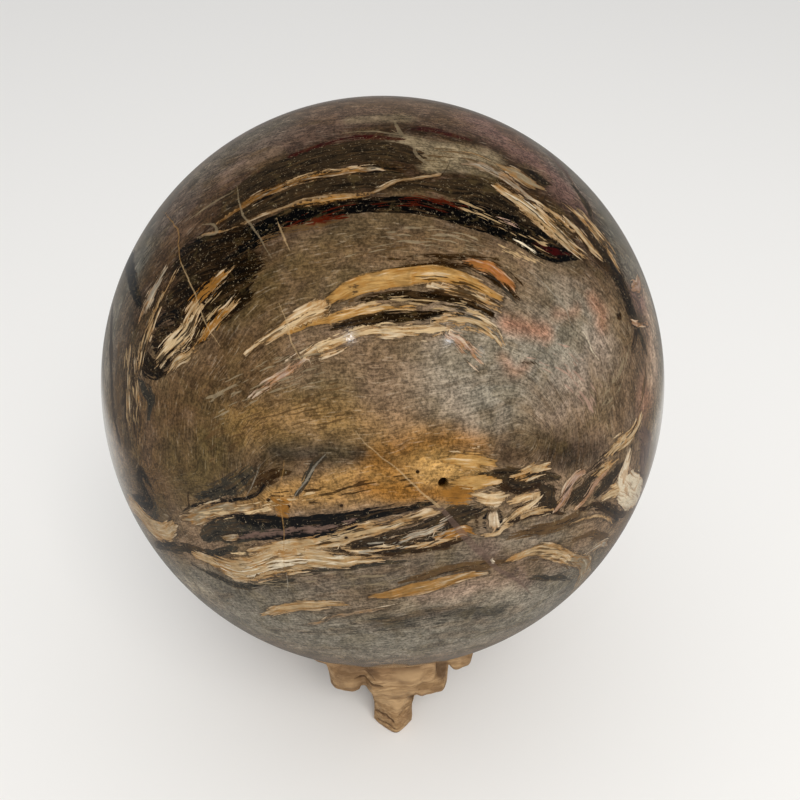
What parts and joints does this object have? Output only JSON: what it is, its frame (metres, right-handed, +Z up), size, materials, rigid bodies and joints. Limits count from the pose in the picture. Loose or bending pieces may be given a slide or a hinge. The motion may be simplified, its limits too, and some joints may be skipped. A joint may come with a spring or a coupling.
{
  "type": "decorative sphere",
  "caption": "Polished petrified-wood sphere resting in a low carved wooden ring stand on pointed feet.",
  "frame": {"origin": "on the surface that the stand stands on, straight below the sphere's centre", "axes": "+Z up; one foot of the stand points along -Y, which is the side the ornament is seen from"},
  "size_m": [0.3, 0.3, 0.344],
  "materials": {
    "petrified_wood": "polished",
    "carved_wood": "satin"
  },
  "bodies": {
    "root": {"stone_sphere": "petrified_wood", "wooden_stand": "carved_wood"}
  },
  "joints": []
}
